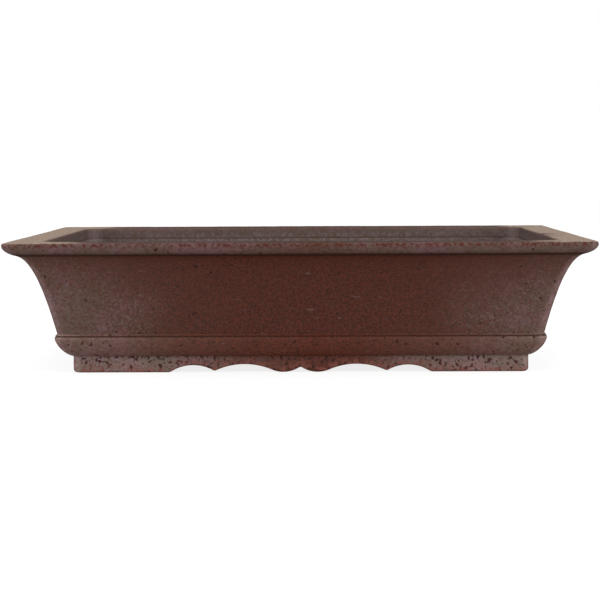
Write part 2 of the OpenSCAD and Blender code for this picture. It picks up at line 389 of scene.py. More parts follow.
def closed_loft(name, grid, sharp, attributes):
    """A closed solid from a grid of section rows by places. Its normals are the cross product of
    the slope along the strip and the slope along the section, taken on one side only where the
    section is sharp. The grid's first and last places only give slopes"""
    rows, places = grid.shape[0], grid.shape[1] - 2
    along = grid[:, 2:] - grid[:, :-2]
    inner = grid[:, 1:-1]
    ahead = np.roll(inner, -1, axis=0) - inner
    behind = inner - np.roll(inner, 1, axis=0)
    is_sharp = np.isin(np.arange(rows), sharp)[:, None, None]
    leaving = unit(np.cross(along, np.where(is_sharp, ahead, ahead + behind)))
    arriving = unit(np.cross(along, np.where(is_sharp, behind, ahead + behind)))
    index = np.arange(rows * places).reshape(rows, places)
    above = np.roll(index, -1, axis=0)
    quads = np.stack([index[:, :-1], index[:, 1:], above[:, 1:], above[:, :-1]], axis=-1).reshape(-1, 4)
    arriving = np.roll(arriving, -1, axis=0)
    corner_normals = np.stack(
        [leaving[:, :-1], leaving[:, 1:], arriving[:, 1:], arriving[:, :-1]], axis=2).reshape(-1, 3)
    caps = np.stack([index[:, 0], index[::-1, -1]])
    normals = np.concatenate([corner_normals, np.zeros((2 * rows, 3))])
    attributes["up"] = leaving[..., 2]
    attributes.setdefault("corner", 0 * leaving[..., 2])
    return put_piece(name, inner.reshape(-1, 3), [quads, caps], normals, attributes, flat=2)


def near(rows, spots, width):
    """How near each row of a section is to the nearest of some places in its plane: the
    exponential of minus the squared distance in widths"""
    away = np.linalg.norm(rows[:, None, :2] - np.array(spots)[None], axis=-1).min(axis=1)
    return np.exp(-(away / width) ** 2)


def strip(name, section, side, sizes, rubbed=None, sunk=None, edge_height=None, step=None):
    """One strip of clay along a side of the pot, mitred at both ends. Rubbed-and-glint and painted shade are
    places in its section and a width: near the first the clay gets a rubbed colour or a painted glint, near
    the second painted shade; a strip with a scalloped edge is rubbed along that edge"""
    rows, sharp = section
    quarters, long_side = SIDES[side]
    straight = round((POT_L if long_side else POT_W) / (step or sizes.mesh_step))
    places = stations(straight, sizes.corner_steps)
    grid = side_grid(rows, places, long_side, edge_height)
    heights = grid[:, 1:-1, 2].copy()
    grid = worked(turned(grid, quarters), sizes)
    shape = np.ones((1, grid.shape[1] - 2))
    none = np.zeros(len(rows))
    attributes = {
        "inside": rows[:, 3:4] * shape,
        "corner": np.abs(places[1][1:-1]) / math.cos(math.radians(45)) + none[:, None],
        "rubbed": (none if rubbed is None else near(rows, *rubbed))[:, None] * shape,
        "sunk": (none if sunk is None else near(rows, *sunk))[:, None] * shape,
    }
    if edge_height is not None:
        base = edge_height(side_grid(rows, places, long_side)[:, 1:-1, 0])
        attributes["rubbed"] = np.exp(-((heights - base) / (2 * sizes.foot_round)) ** 2)
    return closed_loft(name, grid, sharp, attributes)


# ---- Sections ----

def wall_faces(sizes):
    """Outer and inner face of the wall, both from foot to top"""
    foot = BELT_IN + sizes.belt_out
    return (bent((foot, WALL_Z), (WALL_TOP_IN, RIM_Z), WALL_OUTSIDE, WALL_STEPS),
            bent((FOOT_IN, WALL_Z), (RIM_W, RIM_Z), WALL_INSIDE, INSIDE_STEPS))


def wall_section(sizes):
    """The flared wall: out at the foot, swept out further at the top"""
    outer, inner = wall_faces(sizes)
    up = (outer[:, 1] - WALL_Z) / (RIM_Z - WALL_Z)
    return closed(
        run(outer, sizes.wall_corner + (sizes.rim_corner - sizes.wall_corner) * up),
        run(line(outer[-1], inner[-1], 2), np.linspace(sizes.rim_corner, sizes.inner_corner, 3)),
        run(inner[::-1], sizes.inner_corner, inside=1),
        run(line(inner[0], outer[0], 2), np.linspace(sizes.inner_corner, sizes.wall_corner, 3)))


def rim_section(sizes):
    """The rim: a lip swept out to its nose, a flat top, and a rounded inner edge"""
    nose, inner_r = sizes.lip_nose, sizes.rim_inner
    tip_z = POT_H - nose
    lip = bent((WALL_TOP_IN, RIM_Z), (0, tip_z), LIP_CURVE, LIP_STEPS)
    rounding = arc((nose, tip_z), nose, 180, 90, NOSE_STEPS)
    edge = arc((RIM_W - inner_r, POT_H - inner_r), inner_r, 90, 0, EDGE_STEPS)
    outside = chain(lip, rounding)
    corner = sizes.rim_corner - np.where(outside[:, 1] > tip_z, outside[:, 0], 0)
    top = line(outside[-1], edge[0], RIM_TOP_STEPS)
    top_corner = np.linspace(corner[-1], sizes.coil_corner + inner_r, RIM_TOP_STEPS + 1)
    inner = chain(edge, line(edge[-1], (RIM_W, RIM_Z), 4))
    lined = np.clip((POT_H - inner[:, 1]) / (2 * inner_r), 0, 1)
    skin = np.concatenate([
        run(outside, corner)[:-1], run(top, top_corner)[:-1],
        run(inner, sizes.coil_corner + RIM_W - inner[:, 0], inside=lined)])
    return closed(skin, run(line((RIM_W, RIM_Z), (WALL_TOP_IN, RIM_Z), 2),
                            np.linspace(sizes.coil_corner, sizes.rim_corner, 3)))


def groove_line(sizes):
    """The scored line's two lips, in the belt's section: a little behind the belt's front, and
    three tenths of the way from its fullest line to the wall's foot"""
    tip = FOOT_H + sizes.belt_tip
    low = np.array([BELT_IN + 0.16 * sizes.belt_out, tip + 0.3 * (WALL_Z - tip)])
    return low, low + sizes.groove_w * np.array([0.3, 0.95])


def belt_section(sizes):
    """The belt: swept under to the feet, a full round front, a scored line near its top and a
    short slope up to the wall's foot. The scored line is cut by a squared sine"""
    pull = 0.4
    tip = FOOT_H + sizes.belt_tip
    foot = BELT_IN + sizes.belt_out
    low_in = FOOT_IN - 0.6 * MM
    under = bent((low_in, FOOT_H), (BELT_IN, tip), BELT_CURVE, BELT_STEPS)
    low, high = groove_line(sizes)
    rise = low[1] - tip
    shoulder = cubic([(BELT_IN, tip), (BELT_IN, tip + pull * rise),
                      low - pull * (high - low) * rise / sizes.groove_w, low], 6)
    cut = (np.sin(np.linspace(0, math.pi, GROOVE_STEPS + 1)) ** 2)[:, None]
    across = np.array([high[1] - low[1], low[0] - high[0]]) / sizes.groove_w
    groove = line(low, high, GROOVE_STEPS) + across * sizes.groove_d * cut
    slope = cubic([high, high + 0.5 * (np.array([foot, WALL_Z]) - high),
                   (foot - 0.1 * MM, WALL_Z - 0.5 * MM), (foot, WALL_Z)], EDGE_STEPS)
    front = chain(under, shoulder, groove, slope)
    swell = np.clip((low_in - front[:, 0]) / (low_in - BELT_IN), 0, 1)
    corner = np.where(front[:, 1] < tip, sizes.foot_corner
                      + (sizes.wall_corner - sizes.foot_corner) * swell, sizes.wall_corner)
    return closed(
        run(front, corner),
        run(line((foot, WALL_Z), (FOOT_IN, WALL_Z), 2),
            np.linspace(sizes.wall_corner, sizes.inner_corner, 3)),
        run(line((FOOT_IN, WALL_Z), (FOOT_IN, FOOT_H), 2), sizes.inner_corner),
        run(line((FOOT_IN, FOOT_H), (low_in, FOOT_H), 1),
            np.linspace(sizes.inner_corner, sizes.foot_corner, 2)))


def foot_section(sizes):
    """A foot strip: plumb faces, both lower edges rounded, the lower edge lifted by the scallops"""
    big, small = sizes.foot_round, sizes.foot_soft
    out, back = FOOT_IN, FOOT_IN + sizes.foot_t
    front = chain(line((out, FOOT_H), (out, big), FOOT_FACE_STEPS),
                  arc((out + big, big), big, 180, 270, EDGE_STEPS))
    below = line(front[-1], (back - small, 0), 4)
    rear = chain(arc((back - small, small), small, 270, 360, 5),
                 line((back, small), (back, FOOT_H), FOOT_FACE_STEPS))
    points = chain(front, below, rear)
    depth = points[:, 0] - out
    corner = np.where(depth < big, sizes.foot_corner - depth, sizes.foot_corner - big
                      + (sizes.foot_inner_corner - sizes.foot_corner + big)
                      * (depth - big) / (back - out - big))
    lift = np.clip((FOOT_H - points[:, 1]) / (FOOT_H - big), 0, 1)
    skin = run(points[::-1], corner[::-1], inside=(depth[::-1] > big) * 1.0, lift=lift[::-1])
    return closed(skin, run(line((out, FOOT_H), (back, FOOT_H), 2),
                            np.linspace(sizes.foot_corner, sizes.foot_inner_corner, 3)))


def scallops(sizes, scale):
    """Height of the feet's lower edge as a function of the distance x from the middle: a round
    lobe, then the higher of two circular arches and the table, averaged over a few millimetres
    so that the points between them are soft"""
    blur = 1.2 * MM

    def circle_r(half, rise):
        """Radius of an arch, from half its width and its height"""
        return (half * half + rise * rise) / (2 * rise)

    lobe_r = sizes.lobe_r
    inner_r = circle_r(sizes.inner_reach, sizes.inner_h) - lobe_r
    outer_r = circle_r(sizes.outer_w / 2, sizes.outer_h)
    inner_x = sizes.lobe_x + sizes.inner_reach
    outer_x = inner_x + sizes.outer_reach
    turn_x = sizes.lobe_x + sizes.inner_reach * lobe_r / (lobe_r + inner_r)

    def arch(x, middle, radius, rise):
        """Height of one arch at x"""
        return rise - radius + np.sqrt(np.maximum(radius ** 2 - (x - middle) ** 2, 0))

    def height(x):
        """Height before it is averaged"""
        lobe = lobe_r - np.sqrt(np.maximum(lobe_r ** 2 - (x - sizes.lobe_x) ** 2, 0))
        arches = np.maximum(arch(x, inner_x, inner_r, sizes.inner_h),
                            arch(x, outer_x, outer_r, sizes.outer_h))
        return np.where(x < turn_x, lobe, np.maximum(arches, 0))

    def soft(x):
        """Height averaged over places near x"""
        near_by = np.linspace(-blur, blur, 7)
        return scale * sum(height(np.abs(x / scale + d)) for d in near_by) / len(near_by)

    return soft


def floor_coil_section(sizes):
    """The coil in the angle between floor and belt: a hollow quarter round"""
    r = WALL_Z - FLOOR_TOP
    hollow = arc((FOOT_IN + r, FLOOR_TOP + r), r, 270, 180, 12)
    corner = sizes.coil_corner - (hollow[:, 0] - FOOT_IN)
    return closed(
        run(hollow, corner, inside=1),
        run(line(hollow[-1], (FOOT_IN, FLOOR_TOP), 2), np.linspace(corner[-1], sizes.inner_corner, 3)),
        run(line((FOOT_IN, FLOOR_TOP), hollow[0], 2), np.linspace(sizes.inner_corner, corner[0], 3)))


# ---- Floor slab and corner coils ----

def floor_outline(sizes):
    """The floor's edge: a rounded rectangle, one side after the other"""
    shares, cosines, sines = (p[1:-1] for p in stations(FLOOR_SPANS, FLOOR_CORNER_STEPS))
    l, w, r = POT_L / 2 - FOOT_IN, POT_W / 2 - FOOT_IN, sizes.inner_corner
    sides = []
    for quarters in range(4):
        a, b = (l, w) if quarters % 2 == 0 else (w, l)
        side = np.column_stack([shares * (a - r) + r * cosines, -(b - r) + r * sines, 0 * shares])
        sides.append(turned(side, quarters)[:-1, :2])
    return np.concatenate(sides)


def floor_grid(sizes, holes):
    """Points on a square grid inside the floor, clear of its edge and its holes"""
    half = np.array([POT_L, POT_W]) / 2 - FOOT_IN
    across, along = (np.arange(-h + FLOOR_STEP / 2, h, FLOOR_STEP) for h in half)
    points = np.stack(np.meshgrid(across, along), axis=-1).reshape(-1, 2)
    keep = (np.abs(points) < half - sizes.inner_corner / 2).all(axis=1)
    for centre, radius in holes:
        keep &= np.linalg.norm(points - centre, axis=1) > radius + sizes.hole_round + FLOOR_STEP / 3
    return points[keep]


def pierced_plane(loops, inner, holes, edge):
    """A flat shape triangulated between its outline, its holes' rims and the points between: all
    the points, and the triangles outside the holes, turned anticlockwise"""
    edges, start = [], 0
    for loop in loops:
        ids = start + np.arange(len(loop))
        edges += np.column_stack([ids, np.roll(ids, -1)]).tolist()
        start += len(loop)
    points = [Vector(p) for p in np.concatenate([*loops, inner])]
    result = delaunay_2d_cdt(points, edges, [], 0, 1e-7, False)
    plane, tris = np.array(result[0]), np.array(result[2])
    for centre, radius in holes:
        middle = plane[tris].mean(axis=1)
        tris = tris[np.linalg.norm(middle - centre, axis=1) > radius + 0.9 * edge]
    a, b, c = (plane[tris[:, k]] for k in range(3))
    wrong = np.cross(b - a, c - a) < 0
    tris[wrong] = tris[wrong][:, ::-1]
    return plane, tris


def hole_profile(radius, edge):
    """A hole's wall from top to bottom, as radii and heights: a quarter round, a plumb stretch
    and the quarter round upside down"""
    bend = np.radians(np.linspace(0, 90, HOLE_EDGE_STEPS + 1))[1:]
    upper = np.column_stack([radius + edge * (1 - np.sin(bend)), FLOOR_TOP - edge * (1 - np.cos(bend))])
    lower = upper[::-1] * (1, -1) + (0, FLOOR_TOP + FOOT_H)
    return np.concatenate([upper, [(radius, (FLOOR_TOP + FOOT_H) / 2)], lower])


def floor_slab(name, sizes):
    """The floor: a rounded rectangle with round holes, the same triangles above and below, and
    bands of quads down its edge and down each hole's wall"""
    ring = arc((0, 0), 1, 0, 360, HOLE_STEPS)[:-1]
    holes = [(np.array(m["pos_m"][:2]), m["dims"]["r_mm"] * MM) for m in BORES]
    loops = [floor_outline(sizes)]
    loops += [centre + (radius + sizes.hole_round) * ring for centre, radius in holes]
    plane, tris = pierced_plane(loops, floor_grid(sizes, holes), holes, sizes.hole_round)
    count = len(plane)
    layers = [np.column_stack([plane, np.full(count, z)]) for z in (FLOOR_TOP, FOOT_H)]
    quads, total, start = [], 2 * count, 0
    for loop, hole in zip(loops, [None, *holes]):
        n = len(loop)
        levels = [start + np.arange(n)]
        if hole:
            centre, radius = hole
            for r, z in hole_profile(radius, sizes.hole_round):
                layers.append(np.column_stack([centre + r * ring, np.full(n, z)]))
                levels.append(total + np.arange(n))
                total += n
        levels.append(start + count + np.arange(n))
        for upper, lower in zip(levels[:-1], levels[1:]):
            band = np.column_stack([upper, lower, np.roll(lower, -1), np.roll(upper, -1)])
            quads.append(band[:, ::-1] if hole else band)
        start += n
    points = worked(np.concatenate(layers), sizes)
    none = np.zeros(total)
    up = np.where(points[:, 2] > (FLOOR_TOP + FOOT_H) / 2, 1.0, -1.0)
    made = put_piece(name, points, [np.concatenate([tris, tris[:, ::-1] + count]), np.concatenate(quads)],
                     attributes={"inside": none + 1, "rubbed": none, "sunk": none, "corner": none, "up": up})
    made.data.set_sharp_from_angle(angle=math.radians(35))
    return made


def corner_coil(name, corner, sizes):
    """The coil in an upright inner corner: between the walls' rounded corner and a wider hollow
    round, both following the wall's inner face up"""
    _, inner = wall_faces(sizes)
    steps = 2 * sizes.corner_steps
    face = arc((sizes.inner_corner,) * 2, sizes.inner_corner, 180, 270, steps)
    hollow = arc((sizes.coil_corner,) * 2, sizes.coil_corner, 270, 180, steps)
    ring = np.concatenate([face, hollow])
    flip = np.array(CORNERS[corner])
    heights = np.concatenate([[2 * inner[0] - inner[1]], inner, [2 * inner[-1] - inner[-2]]])
    grid = np.zeros((len(ring), len(heights), 3))
    grid[..., :2] = (heights[None, :, :1] - np.array([POT_L, POT_W]) / 2 + ring[:, None, :]) * flip
    grid[..., 2] = heights[None, :, 1]
    if flip.prod() > 0:
        grid = grid[::-1]
    grid = worked(grid, sizes)
    sharp = [0, steps, steps + 1, len(ring) - 1]
    none = np.zeros((len(ring), len(inner)))
    return closed_loft(name, grid, sharp, {"inside": none + 1, "rubbed": none, "sunk": none})


# ---- Shader nodes ----

def feed(tree, socket, value):
    """Gives a socket its value, or the socket that it comes from. A colour's alpha is 1"""
    if isinstance(value, bpy.types.NodeSocket):
        tree.links.new(value, socket)
    elif socket.type == "RGBA" and len(value) == 3:
        socket.default_value = (*value, 1)
    else:
        socket.default_value = value


def add(tree, kind, inputs=None, **settings):
    """A node with its settings and its inputs"""
    made = tree.nodes.new(kind)
    for name, value in settings.items():
        setattr(made, name, value)
    for name, value in (inputs or {}).items():
        feed(tree, made.inputs[name], value)
    return made


def maths(tree, operation, a, b=0.0):
    """Sum, difference and the like"""
    return add(tree, "ShaderNodeMath", {0: a, 1: b}, operation=operation).outputs[0]


def times(tree, a, b):
    """Product of two values"""
    return maths(tree, "MULTIPLY", a, b)


def ramp(tree, value, low, high, to_low=0.0, to_high=1.0):
    """Smooth step from one value to another"""
    return add(tree, "ShaderNodeMapRange", {
        "Value": value, "From Min": low, "From Max": high, "To Min": to_low, "To Max": to_high},
        interpolation_type="SMOOTHSTEP").outputs["Result"]


def mix(tree, factor, a, b):
    """Colour a, turned into colour b by the factor"""
    return add(tree, "ShaderNodeMix", {0: factor, 6: a, 7: b}, data_type="RGBA",
               clamp_factor=True).outputs[2]


def place_parts(tree):
    """The three parts of a place in object coordinates"""
    place = add(tree, "ShaderNodeTexCoord").outputs["Object"]
    return add(tree, "ShaderNodeSeparateXYZ", {0: place}).outputs


def noise(tree, scale, detail, rough, offset=0.0):
    """Noise in object coordinates, in features per metre"""
    place = add(tree, "ShaderNodeTexCoord").outputs["Object"]
    place = add(tree, "ShaderNodeMapping", {"Vector": place, "Location": (offset,) * 3}).outputs[0]
    return add(tree, "ShaderNodeTexNoise", {
        "Vector": place, "Scale": scale, "Detail": detail, "Roughness": rough}).outputs["Fac"]


def new_group(name, inputs, outputs):
    """An empty node group with named sockets, and its two end nodes"""
    tree = bpy.data.node_groups.new(name, "ShaderNodeTree")
    for label, kind, value in inputs:
        socket = tree.interface.new_socket(name=label, in_out="INPUT", socket_type=kind)
        socket.default_value = value
    for label, kind in outputs:
        tree.interface.new_socket(name=label, in_out="OUTPUT", socket_type=kind)
    return tree, tree.nodes.new("NodeGroupInput").outputs, tree.nodes.new("NodeGroupOutput").inputs


def use_group(tree, name, inputs=None):
    """A node group placed in a material with its own values"""
    return add(tree, "ShaderNodeGroup", inputs, node_tree=bpy.data.node_groups[name]).outputs


FLOAT, COLOUR = "NodeSocketFloat", "NodeSocketColor"
GREY = (0.1, 0.1, 0.1, 1)


def make_grain_group():
    """Grain of fired stoneware: grain of about a millimetre, specks, mottles of a few millimetres,
    patches of a few centimetres, and the height of them. The grain is coarser low down"""
    tree, _, out = new_group("Stoneware grain", [], [
        ("Fine", FLOAT), ("Speck", FLOAT), ("Mottle", FLOAT), ("Patch", FLOAT), ("Height", FLOAT)])
    z = place_parts(tree)["Z"]
    fine = noise(tree, 640, 2, 0.6)
    speck = noise(tree, 520, 2, 0.55, offset=3.1)
    mottle = noise(tree, 290, 3, 0.65, offset=5.3)
    patch = noise(tree, 38, 3, 0.55, offset=7.7)
    coarse = ramp(tree, z, 0.75 * POT_H, 0.4 * POT_H, 0.55, 1.0)
    grain = times(tree, maths(tree, "SUBTRACT", fine, 0.5), coarse)
    tree.links.new(ramp(tree, grain, -0.07, 0.07), out["Fine"])
    tree.links.new(times(tree, maths(tree, "SUBTRACT", speck, 0.5), coarse), out["Speck"])
    tree.links.new(ramp(tree, mottle, 0.38, 0.62), out["Mottle"])
    tree.links.new(ramp(tree, patch, 0.36, 0.64), out["Patch"])
    tree.links.new(maths(tree, "ADD", times(tree, fine, 0.6), times(tree, mottle, 0.4)), out["Height"])


def make_ash_group():
    """Where kiln ash has settled: little round the middle of the long sides, more to the ends, broken up by
    slow noise. Towards the lip there is less of it, which paints the shade under the lip as darker clay"""
    tree, given, out = new_group("Kiln ash", [
        ("Start", FLOAT, 0.3), ("End", FLOAT, 1.0), ("Break-up", FLOAT, 0.5),
        ("Under the lip", FLOAT, 0.55)], [("Ash", FLOAT)])
    x, _, z = place_parts(tree)
    x = maths(tree, "SUBTRACT", x, ASH_SHIFT)
    share = times(tree, maths(tree, "ABSOLUTE", x), 2 / POT_L)
    cloud = maths(tree, "SUBTRACT", noise(tree, 16, 4, 0.6, offset=1.3), 0.5)
    share = maths(tree, "ADD", share, times(tree, cloud, given["Break-up"]))
    # Painted shade: the ash thins and the clay darkens towards the lip, where the lip shades the wall; above
    # the lip the ash is whole again
    painted_lip_shade = ramp(tree, z, 0.5 * RIM_Z, RIM_Z, 1.0, given["Under the lip"])
    painted_lip_shade = maths(tree, "MAXIMUM", painted_lip_shade, ramp(tree, z, RIM_Z, RIM_Z + 2 * MM))
    ash = ramp(tree, share, given["Start"], given["End"])
    tree.links.new(times(tree, ash, painted_lip_shade), out["Ash"])


def make_spot_group():
    """Spots where noise rises above a threshold, flattened by stretching the noise's height"""
    tree, given, out = new_group("Spots", [
        ("Per metre", FLOAT, 230.0), ("Threshold", FLOAT, 0.6), ("Edge", FLOAT, 0.05),
        ("Flatness", FLOAT, 1.0)], [("Spots", FLOAT)])
    x, y, z = place_parts(tree)
    place = add(tree, "ShaderNodeCombineXYZ", {
        "X": x, "Y": y, "Z": times(tree, z, given["Flatness"])}).outputs[0]
    cloud = add(tree, "ShaderNodeTexNoise", {
        "Vector": place, "Scale": given["Per metre"], "Detail": 2.0, "Roughness": 0.45}).outputs["Fac"]
    high = maths(tree, "ADD", given["Threshold"], given["Edge"])
    tree.links.new(ramp(tree, cloud, given["Threshold"], high), out["Spots"])


def make_body_group():
    """Colour of the fired body: clay with deeper grain, a thin haze of ash, and specks of ash that
    are sparse where there is little of it and close where there is much"""
    tree, given, out = new_group("Fired body", [
        ("Clay", COLOUR, GREY), ("Deep", COLOUR, GREY), ("Ash", COLOUR, GREY), ("Green ash", COLOUR, GREY),
        ("Ash mask", FLOAT, 0.5), ("Fine", FLOAT, 0.5), ("Speck", FLOAT, 0.0), ("Mottle", FLOAT, 0.5),
        ("Patch", FLOAT, 0.5), ("Haze", FLOAT, 0.3), ("Specks", FLOAT, 0.8)], [("Color", COLOUR)])
    body = mix(tree, given["Fine"], given["Deep"], given["Clay"])
    ash = mix(tree, given["Patch"], given["Ash"], given["Green ash"])
    thin = mix(tree, 0.5, given["Green ash"], given["Deep"])
    ash = mix(tree, ramp(tree, given["Ash mask"], 0, 0.75), thin, ash)
    settled = maths(tree, "ADD", given["Speck"], times(tree, given["Ash mask"], 0.17))
    amount = times(tree, given["Specks"], ramp(tree, given["Ash mask"], 0, 0.6, 0.24, 1.0))
    specks = times(tree, ramp(tree, settled, 0.07, 0.21), amount)
    haze = times(tree, given["Ash mask"], given["Haze"])
    haze = times(tree, haze, ramp(tree, given["Mottle"], 0, 1, 0.65, 1.3))
    tree.links.new(mix(tree, maths(tree, "MAXIMUM", specks, haze), body, ash), out["Color"])


def attribute(tree, name):
    """Value that a mesh holds at its points"""
    return add(tree, "ShaderNodeAttribute", attribute_name=name).outputs["Fac"]


def stoneware(name, base, shade, ash, body, spots, worn_and_glints, roughness, bump, gloss):
    """A fired clay: the body colour with ash, iron spots, beige ash on the ends that also stands in for
    light on their upward faces, ash inside, scuffs, painted sheen on the upright corners, worn edges and
    painted glints, painted shade in the groove and under the lip, and a surface with the clay's own grain.
    Shade makes the whole clay lighter or darker, and gloss is how strongly it mirrors"""
    colours = {key: tuple(shade * part for part in value) for key, value in base.items()}
    material = bpy.data.materials.new(name)
    material.use_nodes = True
    tree = material.node_tree
    tree.nodes.clear()
    grain = use_group(tree, "Stoneware grain")
    mask = use_group(tree, "Kiln ash", ash)["Ash"]
    colour = use_group(tree, "Fired body", {
        "Clay": colours["clay"], "Deep": colours["deep"], "Ash": colours["ash"],
        "Green ash": colours["moss"], "Ash mask": mask, "Fine": grain["Fine"],
        "Speck": grain["Speck"], "Mottle": grain["Mottle"], "Patch": grain["Patch"], **body})["Color"]
    colour = mix(tree, use_group(tree, "Spots", spots)["Spots"], colour, colours["iron"])

    # Beige ash on the upward faces of the ends, partly painted light: it also stands in for the light that
    # falls on the rim's top
    beige = mix(tree, ramp(tree, grain["Fine"], 0, 1, 0.4, 1.0), colours["moss"], colours["sand"])
    ends = use_group(tree, "Kiln ash", {"Start": 0.72, "End": 0.88})["Ash"]
    ends = times(tree, ends, ramp(tree, attribute(tree, "up"), 0.6, 1.0))
    colour = mix(tree, ends, colour, beige)

    lining = mix(tree, grain["Mottle"], colours["lining"], colours["moss"])
    lining = mix(tree, times(tree, grain["Fine"], 0.4), lining, colours["deep"])
    colour = mix(tree, attribute(tree, "inside"), colour, lining)

    scuffs = use_group(tree, "Spots", {"Per metre": 110.0, "Threshold": 0.71, "Flatness": 3.0})["Spots"]
    colour = mix(tree, times(tree, scuffs, 0.35), colour, colours["ash"])

    # Painted sheen: lighter lilac on the upright corners, where the side lights shine, but not on their top
    # faces
    corner = ramp(tree, attribute(tree, "corner"), 0.1, 1.0)
    corner = times(tree, corner, ramp(tree, attribute(tree, "up"), 0.9, 0.4))
    pale = times(tree, corner, ramp(tree, grain["Mottle"], 0, 1, 0.25, 0.55))
    colour = mix(tree, pale, colour, colours["pale"])

    # Worn edges in their own colour, and on the belt painted glints: pinkish highlights along the groove's
    # edges
    broken = use_group(tree, "Spots", worn_and_glints["broken"])["Spots"]
    where = use_group(tree, "Kiln ash", worn_and_glints["where"])["Ash"]
    edge = times(tree, times(tree, attribute(tree, "rubbed"), broken), where)
    colour = mix(tree, times(tree, edge, worn_and_glints["amount"]), colour, colours[worn_and_glints["colour"]])
    # Painted shade: dark clay in the belt's groove and under the lip
    colour = mix(tree, attribute(tree, "sunk"), colour, colours["line"])

    surface = add(tree, "ShaderNodeBump", {
        "Height": grain["Height"], "Strength": bump, "Distance": GRAIN_DEPTH}).outputs["Normal"]
    rough = ramp(tree, grain["Mottle"], 0, 1, roughness[0], roughness[1])
    rough = maths(tree, "SUBTRACT", rough, times(tree, edge, 0.12))
    rough = maths(tree, "SUBTRACT", rough, times(tree, corner, 0.1))
    shader = add(tree, "ShaderNodeBsdfPrincipled", {
        "Base Color": colour, "Normal": surface, "Specular IOR Level": gloss, "Roughness": rough})
    add(tree, "ShaderNodeOutputMaterial", {"Surface": shader.outputs[0]})
    return material


def make_materials(colours):
    """The shared groups, then one fired clay for each part of the pot"""
    make_grain_group()
    make_ash_group()
    make_spot_group()
    make_body_group()
    base = {key: tuple(getattr(colours, key)) for key in colours.__annotations__}
    few = {"Per metre": 300.0, "Threshold": 0.68}
    some = {"Per metre": 330.0, "Threshold": 0.645}
    many = {"Per metre": 380.0, "Threshold": 0.56, "Edge": 0.08}
    glints = {"colour": "rub", "amount": 0.85, "where": {"Start": 0.5, "End": 1.0, "Break-up": 0.7},
              "broken": {"Per metre": 210.0, "Threshold": 0.46, "Edge": 0.16}}
    bricks = {"colour": "brick", "amount": 0.75, "where": {"Start": -2.0, "End": -1.0, "Under the lip": 1.0},
              "broken": {"Per metre": 260.0, "Threshold": 0.44, "Edge": 0.12}}
    red_specks = {**bricks, "colour": "red", "amount": 0.9,
                  "broken": {"Per metre": 400.0, "Threshold": 0.48, "Edge": 0.07}}
    stoneware("rim_clay", base, 0.735, {"Start": -1.2, "End": 0.7}, {"Haze": 0.6, "Specks": 0.7},
              few, red_specks, (0.66, 0.56), 0.3, 0.15)
    stoneware("wall_clay", base, 0.80, {"Start": 0.14, "End": 1.04, "Break-up": 0.32},
              {"Haze": 0.5, "Specks": 0.7}, few, glints, (0.5, 0.4), 0.35, 0.4)
    stoneware("belt_clay", base, 1.0, {"Start": -0.1, "End": 1.25, "Break-up": 0.25},
              {"Haze": 0.75, "Specks": 0.55}, some, glints, (0.5, 0.36), 0.3, 0.4)
    stoneware("foot_clay", base, 1.0, {"Start": 0.0, "End": 0.6}, {"Haze": 0.8, "Specks": 0.9},
              many, bricks, (0.52, 0.4), 0.4, 0.4)
    stoneware("inner_clay", base, 1.0, {"Start": -0.5, "End": 0.5}, {"Haze": 0.5, "Specks": 0.7},
              few, glints, (0.6, 0.5), 0.4, 0.25)


# ---- Operators ----

def finish_piece(piece, node, material):
    """Gives a piece its material, hangs it from the root body, and hides the CAD node that it stands for"""
    piece.data.materials.append(bpy.data.materials[material])
    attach(piece, "root")
    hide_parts(node)


def make_strips(part, section, sizes, material, slot, **marks):
    """The same strip of clay along each side of the pot"""
    for side in SIDES:
        piece = strip(f"pot_{part}_{side}", section, side, sizes, **marks)
        finish_piece(piece, f"{part}_{side}", material)


class POT_OT_materials(bpy.types.Operator):
    """Make the fired clays"""

    bl_idname = "pot.materials"
    bl_label = "Fired clays"

    def execute(self, context):
        make_materials(context.scene.pot_colours)
        return {"FINISHED"}


class POT_OT_floor(bpy.types.Operator):
    """Make the floor slab with its drain holes and wire holes"""

    bl_idname = "pot.floor"
    bl_label = "Floor"

    def execute(self, context):
        piece = floor_slab("pot_floor", context.scene.pot_sizes)
        finish_piece(piece, "floor_slab", "inner_clay")
        return {"FINISHED"}


class POT_OT_feet(bpy.types.Operator):
    """Make the four scalloped foot strips"""

    bl_idname = "pot.feet"
    bl_label = "Feet"

    def execute(self, context):
        sizes = context.scene.pot_sizes
        for side, (_, long_side) in SIDES.items():
            edge = scallops(sizes, 1.0 if long_side else sizes.side_scallops)
            piece = strip(f"pot_foot_{side}", foot_section(sizes), side, sizes,
                          edge_height=edge, step=0.45 * sizes.mesh_step)
            finish_piece(piece, f"foot_{side}", "foot_clay")
        return {"FINISHED"}


class POT_OT_belt(bpy.types.Operator):
    """Make the four strips of the belt"""

    bl_idname = "pot.belt"
    bl_label = "Belt"

    def execute(self, context):
        sizes = context.scene.pot_sizes
        low, high = groove_line(sizes)
        # Painted glints along both edges of the groove, and painted shade in the groove and on the slope
        # above it
        rubbed = [low - (0, 0.9 * MM), high + (0.3 * MM, 0.6 * MM)]
        sunk = [(low + high) / 2 + (0, 0.25 * MM)]
        make_strips("belt", belt_section(sizes), sizes, "belt_clay", "belt_stoneware",
                    rubbed=(rubbed, BELT_GLINT), sunk=(sunk, GROOVE_SHADE))
        return {"FINISHED"}


class POT_OT_walls(bpy.types.Operator):
    """Make the four flared walls"""

    bl_idname = "pot.walls"
    bl_label = "Walls"

    def execute(self, context):
        sizes = context.scene.pot_sizes
        # Painted shade on the wall's top, under the lip
        make_strips("wall", wall_section(sizes), sizes, "wall_clay", "wall_stoneware",
                    sunk=([UNDER_LIP], sizes.lip_shade))
        return {"FINISHED"}


